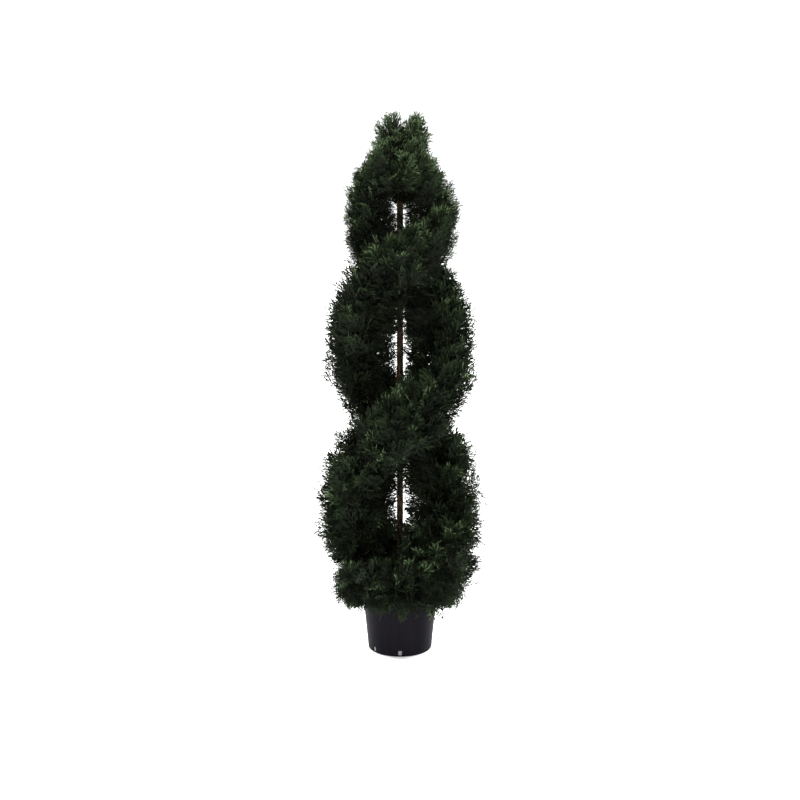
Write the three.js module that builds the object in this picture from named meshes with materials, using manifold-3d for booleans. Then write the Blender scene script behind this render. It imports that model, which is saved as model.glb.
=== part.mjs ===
// Double spiral topiary: two strands of clipped cypress foliage wind up a straight pole,
// set in cement in a plain nursery pot. Millimetres, +Z up, front of the plant towards -Y.
// The origin is the middle of the pot's flat underside.
import * as THREE from 'three';
import { mergeVertices } from 'three/addons/utils/BufferGeometryUtils.js';
import Module from 'manifold-3d';

const wasm = await Module();
wasm.setup();

// Whole plant
const HEIGHT = 1524;
const GAP = 0.3;
const FOLIAGE_GAP = 1;
const SEED = 4107;
const MERGE_DISTANCE = 1e-4;
const FUSE_DISTANCE = 0.02;

// Pot: a tapered tub with a rolled rim and drain slots round its foot
const POT_HEIGHT = 190;
const POT_FOOT_RADIUS = 92;
const POT_SLOPE = 0.1;
const POT_WALL = 3;
const POT_FLOOR = 3;
const POT_FOOT_ROUND = 5;
const POT_ROUND_SHARE = 0.3;
const RIM_BAND = 11;
const RIM_PROUD = 3.5;
const RIM_ROUND = 2;
const RIM_UNDERSIDE = 1;
const POT_SIDES = 42;
const SLOT_WIDTH = 11;
const SLOT_FOOT = 4;
const SLOT_TOP = 19;
const SLOT_DEPTH = 18;
const SLOT_PLACES = 7;
const CLOSED_SLOT = 1;

// Cement fill, whose top is the ground that the pole stands on
const FILL_TOP = 165;

// Pole
const POLE_FOOT_RADIUS = 8.7;
const POLE_TOP_RADIUS = 7.6;
const POLE_TOP = 1446;
const POLE_SIDES = 14;

// Strands. A strand's turn is counted in quarter turns from its first front crossing.
// Each station: turn, height of the strand's middle, its distance from the pole's axis,
// and the foliage's half-width away from the pole and half-height, tips of sprays included.
const STATIONS = [
  [-1.25, 176, 106, 72, 44],
  [-0.9, 194, 114, 86, 60],
  [0, 246, 129, 104, 94],
  [0.6, 326, 136, 113, 138],
  [1, 412, 131, 113, 164],
  [2, 682, 114, 100, 104],
  [3, 890, 111, 103, 132],
  [4, 1129, 99, 87, 84],
  [5, 1253, 82, 76, 90],
  [6, 1392, 62, 58, 60],
];
// The strand climbs faster at the plant's sides than across its front and back
const SIDE_CLIMB = 28;
const SECTION_POWER = 0.85;
const INNER_FULLNESS = 1.1;
const STRANDS = 2;
const TURNS_BETWEEN = 4 / STRANDS;
const STRAND_START = -1.25;
const STRAND_OPENING = 0.3;
const FIRST_JOIN = -0.5;
const MASS_TURN = 0.5;
const STRAND_END = 5.5;
const TURN_STEP = 0.05;
const CORE_SHARE = 0.78;
const CORE_SIDES = 10;
const CORE_STEPS = 3;
const SKIRT_FOOT = 130;

// Sprays: toothed blades that stand out of the core
const SPRAYS_PER_MASS = 32;
const SPRAY_LENGTH = 80;
const SPRAY_WIDTH = 42;
const SPRAY_THICKNESS = 5;
const SPRAY_SUNK = 24;
const SPRAY_OVERREACH = 8;
const SPRAY_SPREAD = 0.5;
const SPRAY_TRIES = 14;
const LEAST_SIZE = 0.85;
const SIZE_RANGE = 0.3;
const SIZE_LOST_PER_TRY = 0.015;
const POLE_CLEARANCE = 4;
const DIVIDE_CLEARANCE = 1.5;
const GOLDEN_ANGLE = Math.PI * (3 - Math.sqrt(5));

// How steeply sprays turn upward: they droop at the skirt and rise above it
const DROOP = -0.2;
const RISE = 0.9;
const LEVEL_HEIGHT = 250;
const RISE_HEIGHT = 700;

// Half of a spray's outline, from its root to its tip: share of the length, share of the width
const SPRAY_OUTLINE = [
  [0, 0],
  [0.8, 0.5],
  [0.66, 0.16],
  [1, 0],
];
const SPRAY_MIDDLE = 0.5;

// Tip: a clipped cone of foliage above the strands. Each pair of its outline is the radius
// of its core and the height over the tip's foot.
const TIP_FOOT = 1340;
const TIP_OUTLINE = [
  [0, 0],
  [98, 0],
  [102, 12],
  [80, 52],
  [62, 84],
  [44, 116],
  [28, 144],
  [0, 152],
];
const TIP_RADIUS = 102;
const TIP_TOP_RADIUS = 28;
const TIP_CORE_TOP = 1492;
const TIP_SIDES = 12;
const TIP_SPRAYS = 40;
const TIP_SPRAYS_FOOT = 1356;
const TIP_SPRAYS_TOP = 1466;
const TIP_SPRAYS_INSET = 6;
const TIP_RISE = 0.55;
const TIP_TUFTS = 7;
const TUFT_RADIUS = 20;
const TUFT_SUNK = 14;
const TUFT_LEAN = 0.5;

// Stems that carry the foliage from the pole: each leaves it nearer to a crossing of the
// strands than the foliage that it carries, and passes over the pot's rim
const STEM_ROOT_RADIUS = 2.6;
const STEM_TIP_RADIUS = 4;
const STEM_SIDES = 5;
const STEM_FALL = 0.5;
const STEM_OVER_RIM = 8;

const UP = new THREE.Vector3(0, 0, 1);

// Seeded random numbers from 0 to 1
function randomFrom(seed) {
  let state = seed >>> 0;
  return () => {
    state = (state + 0x6d2b79f5) >>> 0;
    let mixed = Math.imul(state ^ (state >>> 15), state | 1);
    mixed ^= mixed + Math.imul(mixed ^ (mixed >>> 7), mixed | 61);
    return ((mixed ^ (mixed >>> 14)) >>> 0) / 2 ** 32;
  };
}

// Closed geometry to a solid that can be joined and cut
function solidFrom(geometry) {
  geometry.deleteAttribute('normal');
  geometry.deleteAttribute('uv');
  const merged = mergeVertices(geometry, MERGE_DISTANCE);
  return new wasm.Manifold(
    new wasm.Mesh({
      numProp: 3,
      vertProperties: new Float32Array(merged.attributes.position.array),
      triVerts: new Uint32Array(merged.index.array),
    }),
  );
}

// Solid back to geometry
function geometryFrom(solid) {
  const mesh = solid.getMesh();
  const geometry = new THREE.BufferGeometry();
  geometry.setAttribute('position', new THREE.BufferAttribute(mesh.vertProperties, 3));
  geometry.setIndex(new THREE.BufferAttribute(mesh.triVerts, 1));
  geometry.computeVertexNormals();
  return geometry;
}

// The largest body of a solid: loose scraps are dropped and sealed hollows filled
function largestBody(solid) {
  const bodies = solid.decompose();
  bodies.sort((one, other) => other.volume() - one.volume());
  return bodies[0].simplify(FUSE_DISTANCE);
}

// A round solid from its half section: pairs of radius and height, from axis to axis
function turnedSolid(outline, sides) {
  const points = outline.map(([radius, height]) => new THREE.Vector2(radius, height));
  return solidFrom(new THREE.LatheGeometry(points, sides).rotateX(Math.PI / 2));
}

// A straight tapered limb between two points
function limbSolid(from, to, fromRadius, toRadius, sides) {
  const along = new THREE.Vector3().subVectors(to, from);
  const limb = new THREE.CylinderGeometry(toRadius, fromRadius, along.length(), sides);
  limb.translate(0, along.length() / 2, 0);
  const axis = new THREE.Vector3(0, 1, 0);
  limb.applyQuaternion(new THREE.Quaternion().setFromUnitVectors(axis, along.normalize()));
  limb.translate(from.x, from.y, from.z);
  return solidFrom(limb);
}

// Pot, fill and pole

function potRadius(height) {
  return POT_FOOT_RADIUS + POT_SLOPE * height;
}

function rimRadius() {
  return potRadius(POT_HEIGHT) + RIM_PROUD;
}

// A turned tub with a slot cut at each place round its foot but one
function potSolid() {
  const rimFoot = POT_HEIGHT - RIM_BAND;
  let pot = turnedSolid(
    [
      [0, 0],
      [POT_FOOT_RADIUS - POT_FOOT_ROUND, 0],
      [POT_FOOT_RADIUS - POT_ROUND_SHARE * POT_FOOT_ROUND, POT_ROUND_SHARE * POT_FOOT_ROUND],
      [potRadius(POT_FOOT_ROUND), POT_FOOT_ROUND],
      [potRadius(rimFoot), rimFoot],
      [rimRadius(), rimFoot + RIM_UNDERSIDE],
      [rimRadius(), POT_HEIGHT - RIM_ROUND],
      [rimRadius() - RIM_ROUND, POT_HEIGHT],
      [potRadius(POT_HEIGHT) - POT_WALL, POT_HEIGHT],
      [potRadius(POT_FLOOR) - POT_WALL, POT_FLOOR],
      [0, POT_FLOOR],
    ],
    POT_SIDES,
  );
  for (let place = 0; place < SLOT_PLACES; place += 1) {
    if (place === CLOSED_SLOT) continue;
    const slot = new THREE.BoxGeometry(SLOT_WIDTH, SLOT_DEPTH, SLOT_TOP - SLOT_FOOT);
    slot.translate(0, -POT_FOOT_RADIUS, (SLOT_TOP + SLOT_FOOT) / 2);
    slot.rotateZ((place * 2 * Math.PI) / SLOT_PLACES);
    pot = pot.subtract(solidFrom(slot));
  }
  return pot;
}

function fillSolid() {
  const foot = POT_FLOOR + GAP;
  const inset = POT_WALL + GAP;
  return turnedSolid(
    [
      [0, foot],
      [potRadius(foot) - inset, foot],
      [potRadius(FILL_TOP) - inset, FILL_TOP],
      [0, FILL_TOP],
    ],
    POT_SIDES,
  );
}

// The pole, or with a margin the space that foliage leaves round it
function poleSolid(margin) {
  const foot = new THREE.Vector3(0, 0, FILL_TOP + GAP - margin);
  const top = new THREE.Vector3(0, 0, POLE_TOP + margin);
  return limbSolid(foot, top, POLE_FOOT_RADIUS + margin, POLE_TOP_RADIUS + margin, POLE_SIDES);
}

// Spaces that the strands' foliage leaves to the pot and to the tip

function potSpace() {
  return turnedSolid(
    [
      [0, -FOLIAGE_GAP],
      [POT_FOOT_RADIUS + FOLIAGE_GAP, -FOLIAGE_GAP],
      [rimRadius() + FOLIAGE_GAP, POT_HEIGHT - RIM_BAND - FOLIAGE_GAP],
      [rimRadius() + FOLIAGE_GAP, POT_HEIGHT + FOLIAGE_GAP],
      [0, POT_HEIGHT + FOLIAGE_GAP],
    ],
    POT_SIDES,
  );
}

function tipSpace() {
  const reach = 2 * TIP_RADIUS;
  const foot = TIP_FOOT - GAP;
  return turnedSolid([[0, foot], [reach, foot], [reach, HEIGHT], [0, HEIGHT]], TIP_SIDES);
}

// Strand shape

const stationCurve = new THREE.CubicInterpolant(
  STATIONS.map((station) => station[0]),
  STATIONS.flatMap((station) => station.slice(1)),
  STATIONS[0].length - 1,
);

function stationAt(turn) {
  const [middle, radius, halfWidth, halfHeight] = stationCurve.evaluate(turn);
  const climb = turn > 0 ? SIDE_CLIMB * Math.sin(Math.PI * turn) : 0;
  return { height: middle - climb, radius, halfWidth, halfHeight };
}

// Direction of a strand seen from the pole, in radians from +X, anticlockwise from above
function strandAngle(strand, turn) {
  return ((turn - 1) * Math.PI) / 2 + (strand * 2 * Math.PI) / STRANDS;
}

// Unit vector that points away from the pole
function outward(angle) {
  return new THREE.Vector3(Math.cos(angle), Math.sin(angle), 0);
}

// Half of a section's size at an angle round it: a little fuller than an ellipse
function fuller(share) {
  return Math.sign(share) * Math.abs(share) ** SECTION_POWER;
}

// A point on a strand's section: share 0 is the strand's middle and share 1 the sprays' reach.
// The side towards the pole is the fuller one, so that only a narrow gap is left there.
function sectionPoint(strand, turn, sectionAngle, share) {
  const station = stationAt(turn);
  const side = Math.cos(sectionAngle) < 0 ? INNER_FULLNESS : 1;
  const reach = station.radius + station.halfWidth * share * side * fuller(Math.cos(sectionAngle));
  const point = outward(strandAngle(strand, turn)).multiplyScalar(reach);
  point.z = station.height + station.halfHeight * share * fuller(Math.sin(sectionAngle));
  return point;
}

// The height between a length of strand and the other strand's next length over it
function divideOver(turn) {
  if (turn < STRAND_START - STRAND_OPENING) return SKIRT_FOOT;
  if (turn + TURNS_BETWEEN > STRAND_END) return TIP_FOOT;
  const lower = stationAt(turn);
  const upper = stationAt(turn + TURNS_BETWEEN);
  return (lower.height + lower.halfHeight + upper.height - upper.halfHeight) / 2;
}

// Direction square to the strand's surface at a place on its section
function growthDirection(strand, turn, sectionAngle) {
  const station = stationAt(turn);
  const direction = outward(strandAngle(strand, turn));
  direction.multiplyScalar(Math.cos(sectionAngle) / station.halfWidth);
  direction.z = Math.sin(sectionAngle) / station.halfHeight;
  direction.normalize();
  const along = sectionPoint(strand, turn + TURN_STEP, 0, 0);
  along.sub(sectionPoint(strand, turn - TURN_STEP, 0, 0)).normalize();
  return direction.addScaledVector(along, -direction.dot(along)).normalize();
}

// Core of one length of strand: a column whose rings are laid round the strand's path
function coreSolid(strand, start, end) {
  const column = new THREE.CylinderGeometry(1, 1, 1, CORE_SIDES, CORE_STEPS);
  const place = column.attributes.position;
  for (let i = 0; i < place.count; i += 1) {
    const turn = start + (place.getY(i) + 0.5) * (end - start);
    const share = CORE_SHARE * Math.hypot(place.getX(i), place.getZ(i));
    const point = sectionPoint(strand, turn, Math.atan2(place.getZ(i), place.getX(i)), share);
    place.setXYZ(i, point.x, point.y, point.z);
  }
  return solidFrom(column);
}

// Sprays

// A toothed blade along +X: a flat two-row ball whose rim is drawn out to the outline
function sprayGeometry(length, width) {
  const tip = SPRAY_OUTLINE.length - 1;
  const blade = new THREE.SphereGeometry(1, 2 * tip, 2);
  const place = blade.attributes.position;
  for (let i = 0; i < place.count; i += 1) {
    const face = Math.round(place.getY(i));
    if (face !== 0) {
      place.setXYZ(i, SPRAY_MIDDLE * length, 0, (face * SPRAY_THICKNESS) / 2);
      continue;
    }
    const step = Math.round((Math.atan2(place.getZ(i), place.getX(i)) / Math.PI) * tip);
    const [forward, across] = SPRAY_OUTLINE[tip - Math.abs(step)];
    place.setXYZ(i, forward * length, -Math.sign(step) * across * width, 0);
  }
  return blade;
}

// Sets a spray's root at a point, along a direction and rolled about it
function placeSpray(blade, root, direction, roll) {
  const side = new THREE.Vector3().crossVectors(UP, direction).normalize();
  side.applyAxisAngle(direction, roll);
  const facing = new THREE.Vector3().crossVectors(direction, side);
  const frame = new THREE.Matrix4().makeBasis(direction, side, facing);
  blade.applyMatrix4(frame.setPosition(root));
}

// Whether every point of a geometry lies inside a space
function keepsTo(space, geometry) {
  const place = geometry.attributes.position;
  const point = new THREE.Vector3();
  for (let i = 0; i < place.count; i += 1) {
    if (!space(point.fromBufferAttribute(place, i))) return false;
  }
  return true;
}

// Grows one spray out of a core, smaller at each try until it keeps to the space
function growSpray(random, space, root, direction) {
  for (let attempt = 0; attempt < SPRAY_TRIES; attempt += 1) {
    const size = LEAST_SIZE + SIZE_RANGE * random() - SIZE_LOST_PER_TRY * attempt;
    const heading = new THREE.Vector3(random(), random(), random()).subScalar(0.5);
    heading.multiplyScalar(SPRAY_SPREAD).add(direction).normalize();
    const blade = sprayGeometry(size * SPRAY_LENGTH, size * SPRAY_WIDTH);
    const foot = root.clone().addScaledVector(heading, -SPRAY_SUNK);
    placeSpray(blade, foot, heading, Math.PI * (random() - 0.5));
    if (keepsTo(space, blade)) return [solidFrom(blade)];
  }
  return [];
}

// Masses of foliage

// How far the sprays at a height turn upward
function riseAt(height) {
  const rise = THREE.MathUtils.mapLinear(height, LEVEL_HEIGHT, RISE_HEIGHT, 0, RISE);
  return THREE.MathUtils.clamp(rise, DROOP, RISE);
}

// The wedge between two turns of a strand, clear of the pole and halfway to the lengths of the
// other strand under and over it
function strandSpace(strand, start, end) {
  const startFace = outward(strandAngle(strand, start) + Math.PI / 2);
  const endFace = outward(strandAngle(strand, end) - Math.PI / 2);
  const middle = (start + end) / 2;
  const middleWay = outward(strandAngle(strand, middle));
  const sideWay = outward(strandAngle(strand, middle + 1));
  const station = stationAt(middle);
  const reach = station.radius + station.halfWidth + SPRAY_OVERREACH;
  return (point) => {
    const turn = middle + Math.atan2(point.dot(sideWay), point.dot(middleWay)) / (Math.PI / 2);
    const distance = Math.hypot(point.x, point.y);
    return (
      point.dot(startFace) > GAP / 2 &&
      point.dot(endFace) > GAP / 2 &&
      distance > POLE_FOOT_RADIUS + POLE_CLEARANCE &&
      distance < reach &&
      point.z > divideOver(turn - TURNS_BETWEEN) + DIVIDE_CLEARANCE &&
      point.z < divideOver(turn) - DIVIDE_CLEARANCE
    );
  };
}

// Height of the crossing nearest to a turn
function crossingHeight(turn) {
  return stationAt(Math.max(0, TURNS_BETWEEN * Math.round(turn / TURNS_BETWEEN))).height;
}

// The stem from the pole to the middle of a length of strand
function stemSolid(strand, turn) {
  const station = stationAt(turn);
  const lowest = POT_HEIGHT + STEM_OVER_RIM;
  const tip = outward(strandAngle(strand, turn)).multiplyScalar(station.radius);
  tip.z = Math.max(station.height, lowest);
  const fall = STEM_FALL * (crossingHeight(turn) - station.height);
  const root = new THREE.Vector3(0, 0, Math.max(station.height + fall, lowest));
  return limbSolid(root, tip, STEM_ROOT_RADIUS, STEM_TIP_RADIUS, STEM_SIDES);
}

// One length of strand: core, stem and sprays joined into one body
function strandMass(strand, start, end) {
  const random = randomFrom(SEED + 1000 * strand + Math.round(100 * end));
  const clearTurn = (GAP / Math.PI) / stationAt(start).radius;
  const opening = start === STRAND_START ? STRAND_OPENING : 0;
  const space = strandSpace(strand, start - opening, end);
  const pieces = [
    coreSolid(strand, start + clearTurn, end - clearTurn),
    stemSolid(strand, (start + end) / 2),
  ];
  const count = Math.round((SPRAYS_PER_MASS * (end - start)) / MASS_TURN);
  for (let i = 0; i < count; i += 1) {
    const turn = start + ((i + 0.5) / count) * (end - start);
    const root = sectionPoint(strand, turn, i * GOLDEN_ANGLE, CORE_SHARE);
    const direction = growthDirection(strand, turn, i * GOLDEN_ANGLE);
    direction.z += riseAt(root.z);
    pieces.push(...growSpray(random, space, root, direction));
  }
  return wasm.Manifold.union(pieces);
}

// Everything above the strands: a blunt cone, sprays round it and upright tufts on top
function tipMass() {
  const random = randomFrom(SEED);
  const space = (point) => point.z > TIP_FOOT && point.z < HEIGHT;
  const outline = TIP_OUTLINE.map(([radius, height]) => [radius, TIP_FOOT + height]);
  const pieces = [turnedSolid(outline, TIP_SIDES)];
  for (let i = 0; i < TIP_SPRAYS; i += 1) {
    const share = (i + 0.5) / TIP_SPRAYS;
    const direction = outward(i * GOLDEN_ANGLE);
    const distance = THREE.MathUtils.lerp(TIP_RADIUS - TIP_SPRAYS_INSET, TIP_TOP_RADIUS, share);
    const root = direction.clone().multiplyScalar(distance);
    root.z = THREE.MathUtils.lerp(TIP_SPRAYS_FOOT, TIP_SPRAYS_TOP, share);
    direction.z = TIP_RISE * (1 + share);
    pieces.push(...growSpray(random, space, root, direction));
  }
  for (let i = 0; i < TIP_TUFTS; i += 1) {
    const direction = outward((i * 2 * Math.PI) / TIP_TUFTS);
    const root = direction.clone().multiplyScalar(TUFT_RADIUS);
    root.z = TIP_CORE_TOP - TUFT_SUNK;
    direction.multiplyScalar(TUFT_LEAN).add(UP);
    pieces.push(...growSpray(random, space, root, direction));
  }
  return wasm.Manifold.union(pieces);
}

// Materials

function potMaterial() {
  return new THREE.MeshStandardMaterial({ color: 0x201f24, roughness: 0.55, metalness: 0 });
}

function cementMaterial() {
  return new THREE.MeshStandardMaterial({ color: 0xafaca5, roughness: 0.9, metalness: 0 });
}

function barkMaterial() {
  return new THREE.MeshStandardMaterial({ color: 0x2a2119, roughness: 0.85, metalness: 0 });
}

function foliageMaterial() {
  return new THREE.MeshStandardMaterial({ color: 0x27321f, roughness: 0.8, metalness: 0 });
}

// Assembly

const topiary = new THREE.Group();

function addPart(name, solid, material) {
  const part = new THREE.Mesh(geometryFrom(solid), material);
  part.name = name;
  topiary.add(part);
}

addPart('pot', potSolid(), potMaterial());
addPart('cement_fill', fillSolid(), cementMaterial());
addPart('trunk', poleSolid(0), barkMaterial());

const aroundPole = poleSolid(GAP);
const keptClear = wasm.Manifold.union([potSpace(), tipSpace()]);

for (let strand = 0; strand < STRANDS; strand += 1) {
  let start = STRAND_START;
  for (let number = 1; start < STRAND_END; number += 1) {
    const end = start === STRAND_START ? FIRST_JOIN : start + MASS_TURN;
    const mass = strandMass(strand, start, end).subtract(aroundPole).subtract(keptClear);
    const name = `foliage_${'ab'[strand]}_${String(number).padStart(2, '0')}`;
    addPart(name, largestBody(mass), foliageMaterial());
    start = end;
  }
}
addPart('foliage_tip', largestBody(tipMass().subtract(aroundPole)), foliageMaterial());

export default topiary;
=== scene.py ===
"""The looks of a double spiral topiary: fine cypress foliage grown on two strands that wind up
a bark-covered pole, set in cement in a black nursery pot. Metres, in the frame of the model:
+Z up, front of the plant towards -Y, origin in the middle of the pot's flat underside."""
import functools
import math
import bmesh
import bpy
import numpy as np
from mathutils import Matrix, Vector, noise


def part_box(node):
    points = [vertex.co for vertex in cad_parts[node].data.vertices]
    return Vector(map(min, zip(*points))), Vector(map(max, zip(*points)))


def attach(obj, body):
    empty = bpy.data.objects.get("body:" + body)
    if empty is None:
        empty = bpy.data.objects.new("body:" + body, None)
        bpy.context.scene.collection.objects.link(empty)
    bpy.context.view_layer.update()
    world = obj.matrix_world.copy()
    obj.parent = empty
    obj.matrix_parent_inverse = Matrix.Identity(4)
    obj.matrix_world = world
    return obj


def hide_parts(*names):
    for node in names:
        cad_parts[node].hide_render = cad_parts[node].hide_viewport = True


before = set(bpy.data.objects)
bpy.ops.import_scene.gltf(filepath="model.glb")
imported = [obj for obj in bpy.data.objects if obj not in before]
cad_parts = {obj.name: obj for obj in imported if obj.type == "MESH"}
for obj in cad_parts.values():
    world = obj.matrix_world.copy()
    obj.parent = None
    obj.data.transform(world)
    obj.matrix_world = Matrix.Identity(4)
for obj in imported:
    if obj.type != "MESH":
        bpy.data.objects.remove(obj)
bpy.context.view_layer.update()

MM = 0.001
SEED = 4107
TIP_SEED = SEED + 7
GOLDEN_ANGLE = math.pi * (3 - math.sqrt(5))
UP = np.array([0.0, 0.0, 1.0])
LEVEL = np.array([1.0, 1.0, 0.0])

# Whole plant and pole
HEIGHT = 1524 * MM
POLE_RADIUS = 8.2 * MM
POLE_CLEARANCE = 4 * MM

# Pot: its wall, its rolled rim and the drain slots in its foot
POT_LOW, POT_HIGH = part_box("pot")
POT_TOP = POT_HIGH.z
POT_RIM_RADIUS = (POT_HIGH.x - POT_LOW.x) / 2
POT_FOOT_RADIUS = 92 * MM
POT_WALL = 3 * MM
POT_FOOT_ROUND = 5 * MM
RIM_BAND = 11 * MM
RIM_PROUD = 3.5 * MM
WALL_TOP_RADIUS = POT_RIM_RADIUS - RIM_PROUD
RIM_LOWER_ROUND = 1.5 * MM
RIM_OUTER_ROUND = 2.5 * MM
RIM_INNER_ROUND = 1 * MM
POT_SIDES = 128
POT_SHARP_ANGLE = 40
POT_CLEARANCE = 1.5 * MM
RIM_CLEARANCE_BAND = 12 * MM
SLOT_WIDTH = 11 * MM
SLOT_HEIGHT = 15 * MM
SLOT_DEPTH = 18 * MM
SLOT_MIDDLE = 11.5 * MM
SLOT_ROUND = 2 * MM
SLOT_PLACES = 7
CLOSED_SLOT = 1

# Cement: its top lies a little under the solid's top and is uneven. The lumps' scale, the slice
# through their noise, and their roughness, step and number of octaves
CEMENT_RINGS = 36
CEMENT_SIDES = 72
CEMENT_SINK = 1.2 * MM
CEMENT_RELIEF = 1.1 * MM
CEMENT_LUMPS = 40
CEMENT_SLICE = 3.1
CEMENT_OCTAVES = (1.0, 2.0, 4)

# Bark: how far it stands out, how deep its furrows and its fine cracks are, the scales of their
# noise round the pole and along it, and the furrows' roughness, step and number of octaves
BARK_RINGS = 420
BARK_SIDES = 56
POLE_TAPER = 0.05
BARK_PROUD = 0.8 * MM
FURROW_DEPTH = 0.6 * MM
CRACK_DEPTH = 0.25 * MM
FURROWS_ROUND = 2.2
FURROWS_ALONG = 16
FURROW_SCALE = 1.3
CRACKS_TO_FURROWS = 4
CRACKS_ALONG = 90
BARK_OCTAVES = (0.9, 2.1, 4)

# Strands. A strand's turn is counted in quarter turns from its first front crossing.
# Each station: turn, height of the strand's middle, its distance from the pole's axis,
# and the foliage's half-width away from the pole and half-height, in millimetres
STATIONS = np.array([
    [-1.25, 176, 106, 72, 44],
    [-0.9, 194, 114, 86, 60],
    [0, 246, 129, 104, 94],
    [0.6, 326, 136, 113, 138],
    [1, 412, 131, 113, 164],
    [2, 682, 114, 100, 104],
    [3, 890, 111, 103, 132],
    [4, 1129, 99, 87, 84],
    [5, 1253, 82, 76, 90],
    [6, 1392, 62, 58, 60],
])
SIDE_CLIMB = 28 * MM
SECTION_POWER = 0.85
INNER_FULLNESS = 1.1
STRANDS = 2
STRAND_START = -1.25
STRAND_END = 5.5
# About the length of a strand in a quarter turn, and a short step along it
QUARTER_TURN_LENGTH = 280 * MM
TURN_STEP = 0.05
# Turns of the first and last clusters of sprays, and where the bough and the inner sprays end in the tip
FIRST_CLUSTER = STRAND_START - 0.1
LAST_CLUSTER = STRAND_END + 0.35
BOUGH_END = STRAND_END + 0.3

# Skirt: the lowest place of any leaflet, and the lowest tips of the skirt's own sprays, higher at
# the front than at the sides and the back
SKIRT_FOOT = 98 * MM
HEM_BESIDE = 106 * MM
HEM_IN_FRONT = 158 * MM
HEM_RAGGED = 20 * MM
FRONT_REACH = 130 * MM
# Last turn of the skirt, and the sine of the section angle below which a spray hangs under it
SKIRT_END = 0.5
SKIRT_UNDERSIDE = -0.4

# Tip: a clipped cone of foliage above the strands. Each ring: height over its foot and radius
TIP_FOOT = 1340 * MM
TIP_RINGS = MM * np.array([
    [-10, 124], [0, 122], [52, 102], [80, 88], [107, 74], [128, 58],
])
TIP_RISE_HEIGHT = 70 * MM
TIP_CLUSTERS = 78
TIP_CLUSTER_POWER = 1.25
TIP_CLUSTER_LEAN = 0.22
TIP_DEPTH = 0.45
TIP_DEPTH_POWER = 1.5
TIP_LENGTH_SHARE = 0.8
TIP_LENGTHS = (44 * MM, 76 * MM)
TIP_LENGTH_RANGE = (0.85, 1.15)
# Upright tufts on top. Each: its place across and along, how far under the top, number of sprays
TIP_TUFTS = np.array([
    [-58, -6, 22, 8],
    [-28, -30, 0, 12],
    [-14, 10, -2, 9],
    [46, -34, -2, 15],
    [58, -2, 8, 9],
    [10, -20, 44, 14],
    [4, 30, 30, 14],
    [74, 0, 48, 10],
])
TUFT_SPREAD = 8 * MM
TUFT_SLOPE = 1.5
TUFT_LEAN = 0.5
TUFT_LEAN_RADIUS = 70 * MM
# A tuft's depth and facing where its tone of painted light and shade is worked out, then its unevenness
# and lengths in millimetres
TUFT_DEPTH = 0.3
TUFT_UPWARD = 0.4
TUFT_SHADE_SPREAD = 0.3
TUFT_RAGGED = 9
TUFT_LENGTHS = (62, 84)
NOT_ZERO = 0.001
# Inside the cone: number of sprays, their places as shares of its radius, their lengths in millimetres
INNER_IN_TIP = 80
INNER_TIP_SHARES = (0.35, 0.7)
INNER_TIP_LENGTHS = (46, 66)

# Sprays that hang over the pot's rim. Each: strand and turn, the tips' distance from the pole
# and height, number of sprays
DROOPS = np.array([
    [0, -0.18, 126, 146, 4],
    [0, 0.04, 124, 124, 4],
    [0, 0.55, 134, 121, 5],
    [0, 0.72, 166, 144, 5],
    [0, -1.15, 130, 122, 6],
    [0, -0.85, 156, 126, 8],
    [0, -0.62, 150, 146, 8],
    [1, -1.22, 128, 130, 4],
    [1, -1.02, 172, 122, 5],
    [1, -0.8, 148, 114, 5],
    [1, -0.3, 128, 112, 4],
])
DROOP_SPREAD = 6 * MM
DROOP_OUTWARD = 0.05

# Sprays: fine ones in clusters over the surface, coarser ones behind them in darker tones of painted
# shade
CLUSTERS_PER_STRAND = 460
TRIES_PER_CLUSTER = 2
SPRAYS_PER_CLUSTER = 7
CLUSTER_SPREAD = 15 * MM
INNER_PER_STRAND = 900
INNER_SHARES = (0.45, 0.8)
# What is added to a cluster's distance from the pole where its patch of surface is worked out, and
# the share of the patches that are smaller than a large one
PATCH_ALLOWANCE = 30 * MM
LARGE_PATCH = 0.9
# Where the tips lie, as a share of the strand's section: the outermost, how far the others lie
# behind them, and how much more of them lie far out
SURFACE_SHARE = 1.035
SURFACE_DEPTH = 0.42
DEPTH_POWER = 1.15
# How much the clusters differ in reach, under the skirt and elsewhere, and in lean
SKIRT_SWELL = 0.12
SWELL = 0.045
CLUSTER_LEAN = 0.28
# How much the directions of single sprays differ
HEADING_SPREAD = {
    "surface": 0.3,
    "inner": 0.5,
    "fringe": 0.35,
    "droop": 0.15,
    "cone": 0.28,
    "tuft": 0.14,
    "inner_tip": 0.4,
}
FACING_SPREAD = 0.15
ROLL_SPREAD = 0.8
# The most standard deviations that any of these differ by, and the least share of a spray's
# direction that leads away from the surface
MOST_DEVIATIONS = 1.7
LEAST_LEAVING = 0.42

# Lengths of the sprays on the strands
SPRAY_LENGTH = 84 * MM
LEAST_SPRAY_LENGTH = 48 * MM
SPRAY_SHARE = 0.88
LENGTH_RANGE = (0.8, 1.12)

# How far sprays turn upward: not at all at the level height, in full from the rise height up, and
# downward below
UPWARD = 0.9
DROOP = -0.2
LEVEL_HEIGHT = 250 * MM
RISE_HEIGHT = 700 * MM

# Where the foliage near the pole can be seen through. Each row: the heights between which sprays
# are left out, then the share left out. They are those on the pole's side, with a lower cosine of
# the section angle than the last value
SPARSE = np.array([
    [1150, 1350, 0.7],
    [790, 915, 0.3],
    [330, 490, 0.1],
])
SPARSE_SIDE = 0.2

# Sprays in the darkest tones, painted shade, that reach from a strand towards the pole across a gap.
# Each row: the heights between which they stand, then their number on each strand
GAP_FRINGES = np.array([
    [925, 1060, 160],
    [800, 925, 26],
    [480, 590, 84],
    [320, 480, 22],
    [1190, 1350, 100],
])
FRINGE_REACH = 62 * MM
LEAST_FRINGE = 0.05
FRINGE_POWER = 1.3
FRINGE_SPREAD = 0.6
FRINGE_UPWARD = 0.15

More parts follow.
